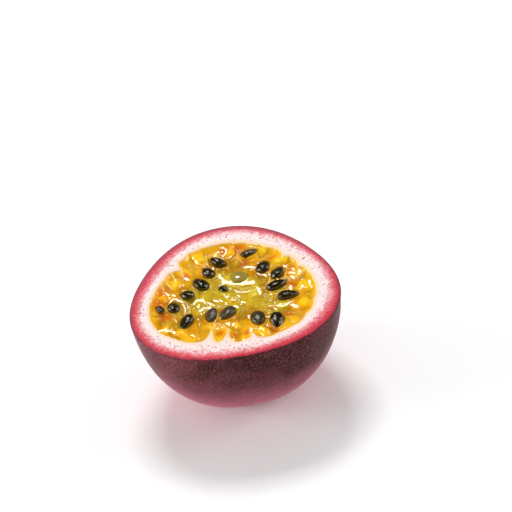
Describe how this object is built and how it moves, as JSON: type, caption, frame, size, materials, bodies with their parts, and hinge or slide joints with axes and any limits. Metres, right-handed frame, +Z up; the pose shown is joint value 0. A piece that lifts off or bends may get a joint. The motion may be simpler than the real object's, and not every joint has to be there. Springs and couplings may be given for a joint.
{
  "type": "passion fruit half",
  "caption": "Cut half of a ripe purple passion fruit: a thick, pale-walled shell full of juicy yellow pulp and dark seeds, cut side up.",
  "frame": {"origin": "centre of the bounding box's base, on the plane that the half stands on", "axes": "+Z up, along the line from the fruit's stem to its tip, out of the cut face; -Y towards the side that faces the viewer in the picture"},
  "size_m": [0.055, 0.0544, 0.0331],
  "materials": {
    "rind": "dark purple-red skin with a satin sheen; the cut wall is white pith under a crimson line",
    "pulp": "wet yellow to orange pulp with glossy black seeds"
  },
  "bodies": {
    "root": {"shell": "rind", "pulp": "pulp"}
  },
  "joints": []
}
